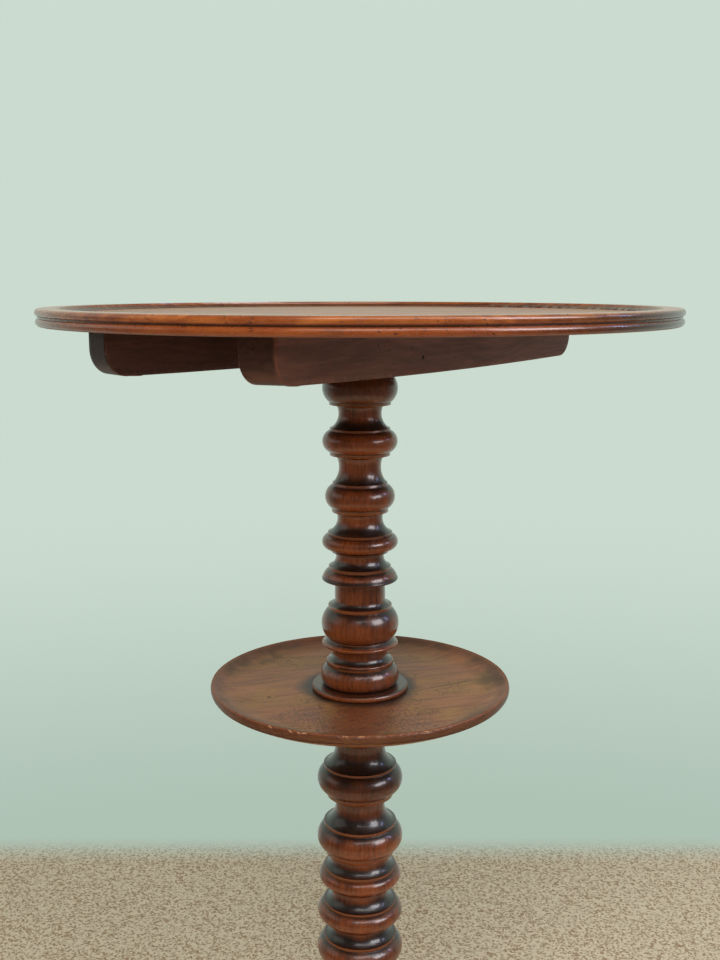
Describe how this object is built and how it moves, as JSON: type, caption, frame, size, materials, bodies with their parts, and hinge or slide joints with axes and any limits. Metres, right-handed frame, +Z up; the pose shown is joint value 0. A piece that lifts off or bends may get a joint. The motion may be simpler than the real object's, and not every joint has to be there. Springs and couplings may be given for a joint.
{
  "type": "gueridon",
  "caption": "Round tilt-top occasional table on a ring-turned column with a small dished tier, bearers straddling a pivot block, a sliding catch and a low curved-leg base.",
  "frame": {"origin": "on the floor under the column's axis", "axes": "+Z up; X along the tilt pivots; Y along the bearers, pivots towards -Y and catch towards +Y"},
  "size_m": [0.5198, 0.5198, 0.76],
  "materials": {
    "top_walnut": "polished walnut with worm holes and wear",
    "bearer_wood": "dull, near-black stained wood with worn edges",
    "plug_wood": "dull brown wood",
    "column_walnut": "polished red-brown walnut with dark grime in the grooves",
    "tier_walnut": "worn walnut with a greyish bloom",
    "leg_walnut": "polished red-brown walnut",
    "brass": "aged brass",
    "iron": "blackened iron"
  },
  "bodies": {
    "base": {"pivot_block": "bearer_wood", "tenon_wedge": "plug_wood", "strike_plate": "brass", "strike_screws": "brass", "upper_column": "column_walnut", "tier_tray": "tier_walnut", "lower_column": "column_walnut", "leg_back": "leg_walnut", "leg_left": "leg_walnut", "leg_right": "leg_walnut", "leg_brace": "iron", "brace_screws": "iron"},
    "top": {"table_top": "top_walnut", "bearer_left": "bearer_wood", "bearer_right": "bearer_wood", "bearer_screws": "iron", "bearer_plugs": "plug_wood", "catch_plate": "brass", "catch_screws": "brass"},
    "bolt": {"catch_bolt": "brass", "catch_knob": "brass"}
  },
  "joints": [
    {"name": "top_tilt", "type": "hinge", "parent": "base", "child": "top", "pos_m": [0, -0.0187, 0.7289], "axis": [1, 0, 0], "range_deg": [0, 90]},
    {"name": "bolt_slide", "type": "slide", "parent": "top", "child": "bolt", "axis": [0, -1, 0], "range_m": [0, 0.01]}
  ]
}
